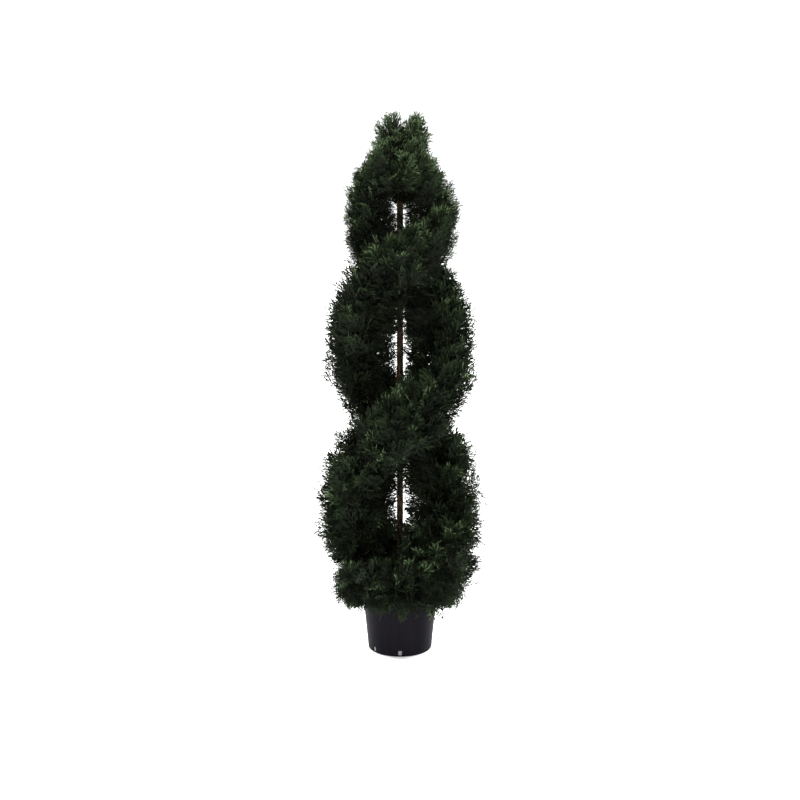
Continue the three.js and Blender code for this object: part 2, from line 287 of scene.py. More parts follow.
# Spray templates: number of side branches, then the leaflets' spacing, length and width
TEMPLATES = 12
FINE = (10, 0.13, 0.2, 0.031)
COARSE = (7, 0.2, 0.3, 0.09)
# Side branches, in shares of a spray's length and in degrees
FIRST_BRANCH = 0.12
BRANCHED_LENGTH = 0.76
BRANCH_ANGLE = 40
BRANCH_CLOSING = 20
BRANCH_ANGLE_RANGE = 6
LAST_BRANCH_REACH = 0.17
ADDED_BRANCH_REACH = 0.42
BRANCH_REACH_POWER = 0.7
BRANCH_REACH_RANGE = (0.85, 1.15)
BRANCH_TILTS = (-0.3, 0.35)
FORK_ANGLES = (17, 32)
LEAF_LENGTH_RANGE = (0.75, 1.15)
STALK_WIDTH = 0.9
BRANCH_WIDTH = 0.95
LEAF_TWIST = 0.8
SPRAY_CURVES = (-0.28, 0.18)
# A blunt flat leaflet of unit length and width: its root, then two corners on each side
LEAF_OUTLINE = np.array([[0, 0], [0.65, 0.5], [1, 0.18], [1, -0.18], [0.65, -0.5]])
LEAF_FACES = np.array([[0, 4, 1], [1, 4, 3], [1, 3, 2]])

# Boughs, their stems from the pole and their twigs. The masses of a strand join at a first turn and
# at even steps after it, and a twig starts a little behind the turn of its spray
FIRST_JOIN = -0.5
MASS_TURN = 0.5
BOUGH_STEPS = 90
BOUGH_SIDES = 6
BOUGH_FOOT_RADIUS = 4.2 * MM
BOUGH_END_RADIUS = 2.2 * MM
STEM_SIDES = 8
STEM_ROOT_RADIUS = 2.6 * MM
STEM_TIP_RADIUS = 4 * MM
STEM_TO_CROSSING = 0.5
LOWEST_STEM = POT_TOP + 8 * MM
TWIG_SIDES = 3
TWIG_FOOT_RADIUS = 1.6 * MM
TWIG_END_RADIUS = 1 * MM
TWIG_LAG = 0.08
TIP_TWIG_FOOT_RADIUS = 1.8 * MM
TIP_TWIG_CLIMB = 20 * MM
TIP_TWIG_TOP = 1440 * MM

# Tones of foliage, painted light and shade of one green: linear base colours from the deep inner
# sprays in painted shade to the brightest tips in painted highlight
TONES = {
    "deep_painted_shade": (0.0115, 0.0142, 0.0100),
    "dark": (0.0148, 0.0200, 0.0122),
    "mid": (0.0200, 0.0285, 0.0152),
    "painted_lit": (0.0300, 0.0480, 0.0215),
    "light": (0.1000, 0.1480, 0.0700),
}
# First tone of the inner and of the drooping sprays, and the tone after their last. The inner sprays take
# the darkest tones as painted shade
INNER_TONES = (0, 2)
DROOP_TONES = (1, 4)
# A spray's lightness, which paints light and shade into its tone: what facing up, lying far out,
# height and the very top add to it, and the lightness at which each next tone starts
LIGHT_FROM_ABOVE = 0.2
LIGHT_OUTSIDE = 0.9
LIGHT_WITH_HEIGHT = 0.1
LIGHT_ON_TOP = 1.4
MIDDLE_DEPTH = 0.5
MIDDLE_HEIGHT = 600 * MM
TONE_STEPS = [-0.28, 0.18, 0.52, 0.84]
# How much the lightness differs by chance, and how much painted shade darkens the sprays where the
# strands cross and on the upper side of the strands' starts: up to a turn, above a sine of the section
# angle
SHADE_SPREAD = 0.2
CROSSING_SHADE = 0.22
START_SHADE = 0.05
START_SHADE_END = 0.15
START_SHADE_SIDE = -0.3
# Shares of a spray's length up to which it is a tone darker with painted shade, and from which it is a
# tone lighter with painted light
PAINTED_SHADE_ROOT = 0.42
PAINTED_HIGHLIGHT_TIP = 0.74

# Colours of the bark, the pot and the cement. Each row: place in the pattern, linear colour
BARK_COLOURS = [
    (0.3, (0.008, 0.006, 0.004)),
    (0.5, (0.036, 0.023, 0.014)),
    (0.72, (0.1, 0.068, 0.042)),
]
POT_COLOURS = [
    (0.35, (0.0064, 0.0056, 0.0080)),
    (0.7, (0.0095, 0.0083, 0.0118)),
]
CEMENT_COLOURS = [
    (0.3, (0.3, 0.285, 0.26)),
    (0.55, (0.43, 0.41, 0.38)),
    (0.8, (0.56, 0.54, 0.5)),
]
PATTERN_DETAIL = 6.0

# Camera: its place, how many degrees it looks down, and its lens and sensor in millimetres
CAMERA_PLACE = (0, -3.2, 1.17)
CAMERA_DOWN = 7.91
LENS = 51.3
SENSOR_WIDTH = 36

# Stage: the floor, and the sky's strengths on its dim and its bright side
FLOOR_REACH = 60
FLOOR_GLOW = 0.45
BRIGHT_SIDE = (0, 0.8, -0.6)
DIM_UP_TO = -0.8
BRIGHT_FROM = 0.2
SKY_DIM = 0.2
SKY_BRIGHT = 1.35


# Shape of the strands

def station_at(turn):
    """Height, radius, half-width and half-height of a strand at each turn, in metres.

    They follow a smooth cubic curve through the stations."""
    turn = np.clip(np.asarray(turn, float), STATIONS[0, 0], STATIONS[-1, 0])
    knots = STATIONS[:, 0]
    after = np.clip(np.searchsorted(knots, turn, side="right"), 1, len(knots) - 1)
    before = after - 1
    previous = np.where(before > 0, before - 1, after)
    following = np.where(after < len(knots) - 1, after + 1, before)
    half = (knots[after] - knots[before]) / 2
    weight_before = half / np.abs(knots[before] - knots[previous])
    weight_after = half / np.abs(knots[following] - knots[after])
    weight_before = np.where(before > 0, weight_before, -weight_before)
    weight_after = np.where(after < len(knots) - 1, weight_after, -weight_after)
    p = (turn - knots[before]) / (knots[after] - knots[before])
    shares = [
        (previous, -weight_before * p**3 + 2 * weight_before * p**2 - weight_before * p),
        (
            before,
            (1 + weight_before) * p**3 - (1.5 + 2 * weight_before) * p**2 - (0.5 - weight_before) * p + 1,
        ),
        (after, (-1 - weight_after) * p**3 + (1.5 + weight_after) * p**2 + 0.5 * p),
        (following, weight_after * (p**3 - p**2)),
    ]
    middle, radius, half_width, half_height = (
        sum(share * STATIONS[index, column] for index, share in shares) * MM
        for column in range(1, 5)
    )
    climb = np.where(turn > 0, SIDE_CLIMB * np.sin(np.pi * turn), 0)
    return middle - climb, radius, half_width, half_height


def strand_angle(strand, turn):
    """Direction of a strand seen from the pole, in radians from +X."""
    return (turn - 1) * np.pi / 2 + strand * 2 * np.pi / STRANDS


def outward(angle):
    """Unit vectors that point away from the pole."""
    angle = np.asarray(angle, float)
    return np.stack([np.cos(angle), np.sin(angle), np.zeros_like(angle)], axis=-1)


def fuller(share):
    """A cosine or sine round a section, raised so that the section is fuller than an ellipse."""
    return np.sign(share) * np.abs(share) ** SECTION_POWER


def section_point(strand, turn, section_angle, share):
    """Points on a strand's section: share 0 is the strand's middle, share 1 the foliage's surface."""
    height, radius, half_width, half_height = station_at(turn)
    side = np.where(np.cos(section_angle) < 0, INNER_FULLNESS, 1.0)
    reach = radius + half_width * share * side * fuller(np.cos(section_angle))
    point = outward(strand_angle(strand, turn)) * reach[:, None]
    point[:, 2] = height + half_height * share * fuller(np.sin(section_angle))
    return point


def strand_middle(strand, turn):
    """Points on the line along a strand's middle."""
    zero = np.zeros_like(turn)
    return section_point(strand, turn, zero, zero)


def unit(vectors):
    """The vectors at a length of one."""
    return vectors / np.linalg.norm(vectors, axis=-1, keepdims=True)


def square_to(directions, vectors):
    """The part of each vector that is square to its direction."""
    return vectors - directions * np.sum(vectors * directions, axis=1, keepdims=True)


def scatter(random, size, spread):
    """Normally spread numbers without far outliers."""
    return spread * np.clip(random.normal(size=size), -MOST_DEVIATIONS, MOST_DEVIATIONS)


def growth_direction(strand, turn, section_angle):
    """Directions square to the strand's surface."""
    _, _, half_width, half_height = station_at(turn)
    direction = outward(strand_angle(strand, turn)) * (np.cos(section_angle) / half_width)[:, None]
    direction[:, 2] = np.sin(section_angle) / half_height
    along = unit(strand_middle(strand, turn + TURN_STEP) - strand_middle(strand, turn - TURN_STEP))
    return unit(square_to(along, unit(direction)))


def rise_at(height):
    """How far the sprays at a height turn upward."""
    share = (height - LEVEL_HEIGHT) / (RISE_HEIGHT - LEVEL_HEIGHT)
    return np.clip(share * UPWARD, DROOP, UPWARD)


def turned_outward(heading, normal):
    """Headings turned until each leaves the strand's surface at a fair angle."""
    leaving = np.sum(heading * normal, axis=1, keepdims=True)
    return unit(heading + normal * np.clip(LEAST_LEAVING - leaving, 0, None))


# Meshes

def mesh_object(name, vertices, faces, material):
    """A piece of one material."""
    mesh = bpy.data.meshes.new(name)
    mesh.from_pydata(vertices, [], faces)
    mesh.materials.append(material)
    piece = bpy.data.objects.new(name, mesh)
    bpy.context.scene.collection.objects.link(piece)
    return piece


def ring_points(radius, height, sides):
    """Points of a level ring round the Z axis."""
    angles = [side * 2 * math.pi / sides for side in range(sides)]
    return [(radius * math.cos(angle), radius * math.sin(angle), height) for angle in angles]


def ring_quads(rings, sides):
    """Faces of four corners between neighbouring rings of points."""
    faces = []
    for ring in range(rings - 1):
        for side in range(sides):
            a = ring * sides + side
            b = ring * sides + (side + 1) % sides
            faces.append((a, b, b + sides, a + sides))
    return faces


def ring_triangles(rings, sides):
    """Triangles between neighbouring rings of points, with a fan over each end."""
    faces = []
    for a, b, c, d in ring_quads(rings, sides):
        faces.append((a, b, c))
        faces.append((a, c, d))
    last = (rings - 1) * sides
    faces.extend((last, last + side, last + side + 1) for side in range(1, sides - 1))
    faces.extend((0, side + 1, side) for side in range(1, sides - 1))
    return faces


def limbs_mesh(starts, ends, start_radii, end_radii, sides):
    """Vertices and faces of many straight tapered limbs, each closed at its end."""
    along = unit(ends - starts)
    nearly_upright = np.abs(along[:, 2:3]) > 0.9
    helper = np.where(nearly_upright, np.array([[1.0, 0, 0]]), UP[None, :])
    across = unit(np.cross(along, helper))
    other = np.cross(along, across)
    angles = np.arange(sides) * 2 * np.pi / sides
    cosines = np.cos(angles)[None, :, None]
    sines = np.sin(angles)[None, :, None]
    ring = across[:, None] * cosines + other[:, None] * sines
    start_ring = starts[:, None] + ring * np.broadcast_to(start_radii, len(starts))[:, None, None]
    end_ring = ends[:, None] + ring * np.broadcast_to(end_radii, len(starts))[:, None, None]
    vertices = np.concatenate([start_ring, end_ring], axis=1).reshape(-1, 3)
    i = np.arange(sides)
    j = (i + 1) % sides
    lower = np.stack([i, j, j + sides], 1)
    upper = np.stack([i, j + sides, i + sides], 1)
    cap = np.stack([np.full(sides - 2, sides), sides + i[1:-1], sides + i[2:]], 1)
    limb = np.concatenate([lower, upper, cap])
    first = np.arange(len(starts)) * 2 * sides
    faces = (limb[None] + first[:, None, None]).reshape(-1, 3)
    return vertices, faces


# Sprays

def leaflet(random, x, y, angle, length, width, tilt):
    """Corners of one leaflet of a flat spray along +X."""
    along = LEAF_OUTLINE[:, 0] * length
    across = LEAF_OUTLINE[:, 1] * width
    out = y + along * math.sin(angle) + across * math.cos(angle)
    twist = random.uniform(-LEAF_TWIST, LEAF_TWIST)
    return np.stack([
        x + along * math.cos(angle) - across * math.sin(angle),
        out,
        tilt * np.abs(out) + across * twist,
    ], axis=1)


def spray_template(random, branches, spacing, leaf_length, leaf_width):
    """One branching fan of unit length along +X: the corners of its leaflets."""
    leaves = [leaflet(random, 0, 0, 0, 1, STALK_WIDTH * leaf_width, 0)]
    for i in range(branches):
        share = i / (branches - 1)
        root = FIRST_BRANCH + BRANCHED_LENGTH * share
        side = 1 if i % 2 else -1
        wobble = random.uniform(-BRANCH_ANGLE_RANGE, BRANCH_ANGLE_RANGE)
        angle = side * math.radians(BRANCH_ANGLE - BRANCH_CLOSING * share + wobble)
        reach = LAST_BRANCH_REACH + ADDED_BRANCH_REACH * (1 - share) ** BRANCH_REACH_POWER
        reach *= random.uniform(*BRANCH_REACH_RANGE)
        tilt = random.uniform(*BRANCH_TILTS)
        leaves.append(leaflet(random, root, 0, angle, reach, BRANCH_WIDTH * leaf_width, tilt))
        count = max(2, round(reach / spacing))
        for j in range(1, count):
            x = root + reach * j / count * math.cos(angle)
            y = reach * j / count * math.sin(angle)
            fork = (1 if j % 2 else -1) * math.radians(random.uniform(*FORK_ANGLES))
            length = leaf_length * random.uniform(*LEAF_LENGTH_RANGE)
            leaves.append(leaflet(random, x, y, angle + fork, length, leaf_width, tilt))
    return np.array(leaves)


def place_sprays(random, templates, roots, headings, facings, lengths, tones):
    """Corners and tones of the leaflets of all sprays.

    Painted shade makes a spray a tone darker near its root and painted light a tone lighter at its tip,
    apart from the deepest ones."""
    side = unit(np.cross(facings, headings))
    facing = np.cross(headings, side)
    chosen = random.integers(0, len(templates), len(roots))
    flipped = random.choice([-1.0, 1.0], len(roots))
    curve = random.uniform(*SPRAY_CURVES, len(roots))
    points, leaf_tones = [], []
    for kind, template in enumerate(templates):
        picked = np.nonzero(chosen == kind)[0]
        x = template[None, :, :, 0]
        y = template[None, :, :, 1] * flipped[picked][:, None, None]
        z = template[None, :, :, 2] + curve[picked][:, None, None] * x * x
        size = lengths[picked][:, None, None, None]
        placed = roots[picked][:, None, None] + size * (
            x[..., None] * headings[picked][:, None, None]
            + y[..., None] * side[picked][:, None, None]
            + z[..., None] * facing[picked][:, None, None]
        )
        points.append(placed.reshape(-1, len(LEAF_OUTLINE), 3))
        leaf_roots = template[:, 0, 0]
        # Painted shade near a spray's root, painted light at its tip
        change = (leaf_roots > PAINTED_HIGHLIGHT_TIP).astype(int) - (leaf_roots < PAINTED_SHADE_ROOT)
        tone = tones[picked][:, None]
        change = np.where(tone > 0, change[None, :], 0)
        leaf_tones.append(np.clip(tone + change, 0, len(TONES) - 1).ravel())
    return np.concatenate(points), np.concatenate(leaf_tones)


def facing_directions(random, headings, normals):
    """Sprays turn their flat side about outward, rolled about their own length."""
    facing = square_to(headings, normals)
    facing += FACING_SPREAD * random.normal(size=facing.shape)
    facing = unit(square_to(headings, facing))
    side = np.cross(headings, facing)
    roll = random.normal(size=len(headings)) * ROLL_SPREAD
    return facing * np.cos(roll)[:, None] + side * np.sin(roll)[:, None]


def spray_tones(depth, upward, height, shade):
    """The tone of each spray, with painted light and shade: lighter far out, where it faces up and
    towards the top of the plant.
    """
    light = (
        LIGHT_FROM_ABOVE * upward
        + LIGHT_OUTSIDE * (MIDDLE_DEPTH - depth)
        + LIGHT_WITH_HEIGHT * (height - MIDDLE_HEIGHT)
        + shade
    )
    # Painted light on the very top of the plant
    light += LIGHT_ON_TOP * np.clip(height - TIP_FOOT, 0, 1)
    return np.digitize(light, TONE_STEPS)


def pot_radius(height):
    """Outer radius of the pot's wall, its rim's radius near its top."""
    wall = POT_FOOT_RADIUS + (WALL_TOP_RADIUS - POT_FOOT_RADIUS) * height / POT_TOP
    return np.where(height > POT_TOP - RIM_CLEARANCE_BAND, POT_RIM_RADIUS, wall)


def allowed(points):
    """Which leaflets keep clear of the pole, the pot and the plant's limits."""
    distance = np.hypot(points[..., 0], points[..., 1])
    height = points[..., 2]
    clear_of_pole = distance > POLE_RADIUS + POLE_CLEARANCE
    beside_pot = distance > pot_radius(height) + POT_CLEARANCE
    above_pot = height > POT_TOP + POT_CLEARANCE
    inside = (height < HEIGHT) & (height > SKIRT_FOOT)
    return (clear_of_pole & (beside_pot | above_pot) & inside).all(axis=1)


def add_foliage(name, points, tones, nodes):
    """One piece for each tone, in which the leaflets of its sprays are joined."""
    keep = allowed(points)
    points, tones = points[keep], tones[keep]
    for number, tone in enumerate(TONES):
        leaves = points[tones == number]
        first = np.arange(len(leaves)) * len(LEAF_OUTLINE)
        faces = (LEAF_FACES[None] + first[:, None, None]).reshape(-1, 3)
        material = foliage_material(tone)
        piece = mesh_object(f"foliage_{name}_{tone}", leaves.reshape(-1, 3), faces, material)
        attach(piece, "root")
        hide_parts(*nodes)


def add_limbs(name, parts, nodes):
    """One piece in which boughs, stems and twigs are joined."""
    vertices, faces, count = [], [], 0
    for part_vertices, part_faces in parts:
        vertices.append(part_vertices)
        faces.append(part_faces + count)
        count += len(part_vertices)
    piece = mesh_object(name, np.concatenate(vertices), np.concatenate(faces), twig_material())
    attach(piece, "root")
    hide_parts(*nodes)


# Foliage of the strands

def strand_clusters(random):
    """Turn and section angle of each cluster, spread evenly over a strand's surface.

    More places are tried than are kept, and one that stands for little surface is left out sooner."""
    tries = TRIES_PER_CLUSTER * CLUSTERS_PER_STRAND
    turn = np.linspace(FIRST_CLUSTER, LAST_CLUSTER, tries)
    angle = np.arange(tries) * GOLDEN_ANGLE % (2 * np.pi) - np.pi
    _, radius, half_width, half_height = station_at(turn)
    patch = np.hypot(half_width * np.sin(angle), half_height * np.cos(angle))
    patch *= radius + half_width * np.cos(angle) + PATCH_ALLOWANCE
    order = np.argsort(random.uniform(0, 1, tries) * np.quantile(patch, LARGE_PATCH) - patch)
    kept = order[:CLUSTERS_PER_STRAND]
    return turn[kept], angle[kept]


def surface_sprays(random, strand):
    """Fine sprays in clusters whose tips lie on a strand's surface."""
    turn, angle = strand_clusters(random)
    owner = np.repeat(np.arange(len(turn)), SPRAYS_PER_CLUSTER)
    count = len(owner)
    under_skirt = (turn < SKIRT_END) & (np.sin(angle) < SKIRT_UNDERSIDE)
    swell = scatter(random, len(turn), np.where(under_skirt, SKIRT_SWELL, SWELL))
    lean = scatter(random, (len(turn), 3), CLUSTER_LEAN)
    shade = scatter(random, len(turn), SHADE_SPREAD)
    # Painted shade on the upper side of the strands' starts and where the strands cross
    painted_start_shade = (turn < START_SHADE_END) & (np.sin(angle) > START_SHADE_SIDE)
    shade -= np.where(painted_start_shade, START_SHADE, 0)
    shade -= CROSSING_SHADE * np.cos(np.pi * turn / 2) ** 2
    _, _, half_width, half_height = station_at(turn[owner])
    spread = scatter(random, (count, 2), CLUSTER_SPREAD)
    turn = turn[owner] + spread[:, 0] / QUARTER_TURN_LENGTH
    angle = angle[owner] + spread[:, 1] / np.minimum(half_width, half_height)
    depth = random.uniform(0, 1, count) ** DEPTH_POWER
    share = SURFACE_SHARE + swell[owner] - SURFACE_DEPTH * depth
    tip = section_point(strand, turn, angle, share)
    tip[:, 2] = np.maximum(tip[:, 2], hem_at(tip[:, 1]) + random.uniform(0, HEM_RAGGED, count))
    normal = growth_direction(strand, turn, angle)
    heading = normal + UP * rise_at(tip[:, 2])[:, None] + lean[owner]
    heading = unit(heading + scatter(random, tip.shape, HEADING_SPREAD["surface"]))
    heading = turned_outward(heading, normal)
    shade = shade[owner] + scatter(random, count, SHADE_SPREAD)
    tone = spray_tones(depth, normal[:, 2], tip[:, 2], shade)
    kept = ~thinned(random, tip, angle)
    return turn[kept], tip[kept], heading[kept], normal[kept], tone[kept]


def hem_at(y):
    """Height of the skirt's hem at a place between its front and its back."""
    return HEM_BESIDE + (HEM_IN_FRONT - HEM_BESIDE) * np.clip(-y / FRONT_REACH, 0, 1)


def thinned(random, tip, angle):
    """Sprays left out near the pole, where the foliage can be seen through."""
    share = np.zeros(len(tip))
    for low, high, left_out in SPARSE:
        share[(tip[:, 2] > low * MM) & (tip[:, 2] < high * MM)] = left_out
    return (np.cos(angle) < SPARSE_SIDE) & (random.uniform(0, 1, len(tip)) < share)


def inner_sprays(random, strand):
    """Coarse sprays in the darkest tones, painted shade, that fill a strand behind the fine ones."""
    count = INNER_PER_STRAND
    turn = random.uniform(STRAND_START, BOUGH_END, count)
    angle = random.uniform(-np.pi, np.pi, count)
    tip = section_point(strand, turn, angle, random.uniform(*INNER_SHARES, count))
    normal = growth_direction(strand, turn, angle)
    lean = scatter(random, tip.shape, HEADING_SPREAD["inner"])
    heading = unit(normal + UP * rise_at(tip[:, 2])[:, None] + lean)
    heading = turned_outward(heading, normal)
    tone = random.integers(*INNER_TONES, count)
    kept = ~thinned(random, tip, angle)
    return turn[kept], tip[kept], heading[kept], normal[kept], tone[kept]


def fringe_sprays(random, strand):
    """Sprays in the darkest tones, painted shade, from a strand's inner side towards the pole, thickest
    under the crossings.
    """
    turns = np.linspace(0, STRAND_END, num=200)
    heights = station_at(turns)[0]
    low, high, number = GAP_FRINGES.T
    height = random.uniform(np.repeat(low, number), np.repeat(high, number)) * MM
    turn = np.interp(height, heights, turns)
    count = len(turn)
    around = strand_angle(strand, turn) + scatter(random, count, FRINGE_SPREAD)
    reach = random.uniform(LEAST_FRINGE, 1, count) ** FRINGE_POWER * FRINGE_REACH
    tip = outward(around) * (POLE_RADIUS + reach)[:, None]
    tip[:, 2] = height
    lean = scatter(random, tip.shape, HEADING_SPREAD["fringe"])
    heading = unit(-outward(around) + UP * FRINGE_UPWARD + lean)
    facing = unit(UP + scatter(random, tip.shape, FRINGE_SPREAD))
    return turn, tip, heading, facing, random.integers(*INNER_TONES, count)


def droop_sprays(random, strand):
    """Sprays that hang from a strand's start over the pot's rim."""
    rows = DROOPS[DROOPS[:, 0] == strand]
    rows = np.repeat(rows, rows[:, 4].astype(int), axis=0)
    turn = rows[:, 1]
    away = outward(strand_angle(strand, turn))
    tip = away * rows[:, 2:3] * MM + UP * rows[:, 3:4] * MM
    tip += scatter(random, away.shape, DROOP_SPREAD)
    heading = unit(DROOP_OUTWARD * away - UP + scatter(random, tip.shape, HEADING_SPREAD["droop"]))
    return turn, tip, heading, away, random.integers(*DROOP_TONES, len(rows))


def spray_lengths(random, turn):
    """Lengths of the sprays on a strand, shorter where it is slim."""
    _, _, half_width, half_height = station_at(turn)
    length = np.minimum(SPRAY_LENGTH, SPRAY_SHARE * np.minimum(half_width, half_height))
    return np.maximum(length, LEAST_SPRAY_LENGTH) * random.uniform(*LENGTH_RANGE, len(turn))


def bough(strand):
    """The bough along a strand's middle."""
    path = strand_middle(strand, np.linspace(STRAND_START, BOUGH_END, BOUGH_STEPS))
    radii = np.linspace(BOUGH_FOOT_RADIUS, BOUGH_END_RADIUS, BOUGH_STEPS)
    return limbs_mesh(path[:-1], path[1:], radii[:-1], radii[1:], BOUGH_SIDES)


def stems(strand):
    """The stems that carry a strand: from the pole to the middle of each of its masses.

    A stem's root lies nearer the height of the nearest crossing than its tip, and over the pot's rim."""
    starts = np.arange(FIRST_JOIN, STRAND_END, MASS_TURN)
    turns = np.concatenate([[(STRAND_START + FIRST_JOIN) / 2], starts + MASS_TURN / 2])
    tips = strand_middle(strand, turns)
    tips[:, 2] = np.maximum(tips[:, 2], LOWEST_STEM)
    crossing = station_at(np.maximum(0, 2 * np.round(turns / 2)))[0]
    roots = unit(tips * LEVEL) * POLE_RADIUS
    roots[:, 2] = np.maximum(tips[:, 2] + STEM_TO_CROSSING * (crossing - tips[:, 2]), LOWEST_STEM)
    return limbs_mesh(roots, tips, STEM_ROOT_RADIUS, STEM_TIP_RADIUS, STEM_SIDES)


def twigs(strand, turn, root):
    """A twig from the bough to the root of each spray."""
    foot = strand_middle(strand, turn - TWIG_LAG)
    return limbs_mesh(foot, root, TWIG_FOOT_RADIUS, TWIG_END_RADIUS, TWIG_SIDES)


def add_strand(strand, fine, coarse):
    """Sprays of one strand, with the bough, stems and twigs that carry them."""
    random = np.random.default_rng(SEED + strand)
    kinds = [
        (fine, surface_sprays(random, strand)),
        (coarse, inner_sprays(random, strand)),
        (fine, fringe_sprays(random, strand)),
        (fine, droop_sprays(random, strand)),
    ]
    all_points, all_tones = [], []
    limbs = [bough(strand), stems(strand)]
    for templates, (turn, tip, heading, normal, tone) in kinds:
        length = spray_lengths(random, turn)
        root = tip - heading * length[:, None]
        facing = facing_directions(random, heading, normal)
        points, tones = place_sprays(random, templates, root, heading, facing, length, tone)
        all_points.append(points)
        all_tones.append(tones)
        limbs.append(twigs(strand, turn, root))
    letter = "ab"[strand]
    nodes = [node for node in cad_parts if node.startswith(f"foliage_{letter}_")]
    add_foliage(letter, np.concatenate(all_points), np.concatenate(all_tones), nodes)
    add_limbs(f"twigs_{letter}", limbs, nodes)


# Foliage of the tip

def cone_radius(height):
    """Radius of the clipped cone at a height over its foot."""
    return np.interp(height, TIP_RINGS[:, 0], TIP_RINGS[:, 1])


def cone_sprays(random):
    """Fine sprays in clusters on the clipped cone."""
    foot, top = TIP_RINGS[0, 0], TIP_RINGS[-1, 0]
    share = (np.arange(TIP_CLUSTERS) + 0.5) / TIP_CLUSTERS
    height = foot + (top - foot) * share ** TIP_CLUSTER_POWER
    angle = np.arange(TIP_CLUSTERS) * GOLDEN_ANGLE
    owner = np.repeat(np.arange(TIP_CLUSTERS), SPRAYS_PER_CLUSTER)
    count = len(owner)
    lean = scatter(random, (TIP_CLUSTERS, 3), TIP_CLUSTER_LEAN)
    shade = scatter(random, TIP_CLUSTERS, SHADE_SPREAD)
    height = np.clip(height[owner] + scatter(random, count, CLUSTER_SPREAD), foot, top)
    radius = cone_radius(height)
    angle = angle[owner] + scatter(random, count, CLUSTER_SPREAD) / radius
    depth = random.uniform(0, 1, count) ** TIP_DEPTH_POWER
    step = 10 * MM
    normal = outward(angle)
    normal[:, 2] = (cone_radius(height - step) - cone_radius(height + step)) / (2 * step)
    normal = unit(normal)
    tip = outward(angle) * (radius * (1 - TIP_DEPTH * depth))[:, None]
    tip[:, 2] = TIP_FOOT + height
    rise = UPWARD * np.clip(height / TIP_RISE_HEIGHT, 0, 1)
    heading = normal + UP * rise[:, None] + lean[owner]
    heading = unit(heading + scatter(random, tip.shape, HEADING_SPREAD["cone"]))
    length = np.clip(radius * TIP_LENGTH_SHARE, *TIP_LENGTHS) * random.uniform(*TIP_LENGTH_RANGE, count)
    shade = shade[owner] + scatter(random, count, SHADE_SPREAD)
    tone = spray_tones(depth, normal[:, 2], tip[:, 2], shade)
    return tip - heading * length[:, None], heading, normal, length, tone


def top_tufts(random):
    """Upright sprays on top of the cone, each tuft fanned out from one place."""
    x, y, under = np.repeat(TIP_TUFTS, TIP_TUFTS[:, 3], axis=0)[:, :3].T
    count = len(x)
    aside = scatter(random, (count, 3), TUFT_SPREAD) * LEVEL
    tip = np.stack([x, y, -under], axis=1) * MM + aside
    drop = TUFT_SLOPE * np.linalg.norm(aside, axis=1) + random.uniform(0, TUFT_RAGGED, count) * MM
    tip[:, 2] = HEIGHT + tip[:, 2] - drop
    outer = tip * LEVEL / TUFT_LEAN_RADIUS
    heading = unit(UP + TUFT_LEAN * outer + scatter(random, tip.shape, HEADING_SPREAD["tuft"]))
    length = random.uniform(*TUFT_LENGTHS, count) * MM
    shade = scatter(random, count, TUFT_SHADE_SPREAD)
    tone = spray_tones(TUFT_DEPTH, TUFT_UPWARD, tip[:, 2], shade)
    return tip - heading * length[:, None], heading, unit(outer + NOT_ZERO), length, tone


def inner_tip_sprays(random):
    """Coarse sprays in the darkest tones, painted shade, inside the cone."""
    count = INNER_IN_TIP
    height = random.uniform(TIP_RINGS[2, 0], TIP_RINGS[-2, 0], count)
    radius = cone_radius(height) * random.uniform(*INNER_TIP_SHARES, count)
    normal = outward(random.uniform(-np.pi, np.pi, count))
    tip = normal * radius[:, None]
    tip[:, 2] = TIP_FOOT + height
    heading = unit(normal + UP * UPWARD + scatter(random, tip.shape, HEADING_SPREAD["inner_tip"]))
    length = random.uniform(*INNER_TIP_LENGTHS, count) * MM
    tone = random.integers(*INNER_TONES, count)
    return tip - heading * length[:, None], heading, normal, length, tone


def add_tip(fine, coarse):
    """The clipped cone above the strands, with upright tufts on top and twigs from the pole."""
    random = np.random.default_rng(TIP_SEED)
    kinds = [
        (fine, cone_sprays(random)),
        (fine, top_tufts(random)),
        (coarse, inner_tip_sprays(random)),
    ]
    all_points, all_tones, roots = [], [], []
    for templates, (root, heading, normal, length, tone) in kinds:
        facing = facing_directions(random, heading, normal)
        points, tones = place_sprays(random, templates, root, heading, facing, length, tone)
        all_points.append(points)
        all_tones.append(tones)
        roots.append(root)
    add_foliage("tip", np.concatenate(all_points), np.concatenate(all_tones), ["foliage_tip"])
    root = np.concatenate(roots)
    foot = unit(root * LEVEL) * POLE_RADIUS
    foot[:, 2] = np.minimum(root[:, 2] - TIP_TWIG_CLIMB, TIP_TWIG_TOP)
    tip_twigs = limbs_mesh(foot, root, TIP_TWIG_FOOT_RADIUS, TWIG_END_RADIUS, TWIG_SIDES)
    add_limbs("twigs_tip", [tip_twigs], ["foliage_tip"])


def add_all_foliage():
    """Both strands and the tip, grown from the same fine and coarse spray templates."""
    random = np.random.default_rng(SEED)
    fine = [spray_template(random, *FINE) for _ in range(TEMPLATES)]
    coarse = [spray_template(random, *COARSE) for _ in range(TEMPLATES)]
    for strand in range(STRANDS):
        add_strand(strand, fine, coarse)
    add_tip(fine, coarse)


# Pole, pot and cement

def bark_relief(angle, height):
    """How far the bark stands out at a place: long plates between furrows, with fine cracks."""
    x = math.cos(angle) * FURROWS_ROUND
    y = math.sin(angle) * FURROWS_ROUND
    place = Vector((x, y, height * FURROWS_ALONG))
    furrows = noise.fractal(place * FURROW_SCALE, *BARK_OCTAVES)
    fine_place = Vector((place.x * CRACKS_TO_FURROWS, place.y * CRACKS_TO_FURROWS, height * CRACKS_ALONG))
    cracks = noise.noise(fine_place)
    return BARK_PROUD - FURROW_DEPTH * abs(furrows) - CRACK_DEPTH * abs(cracks)


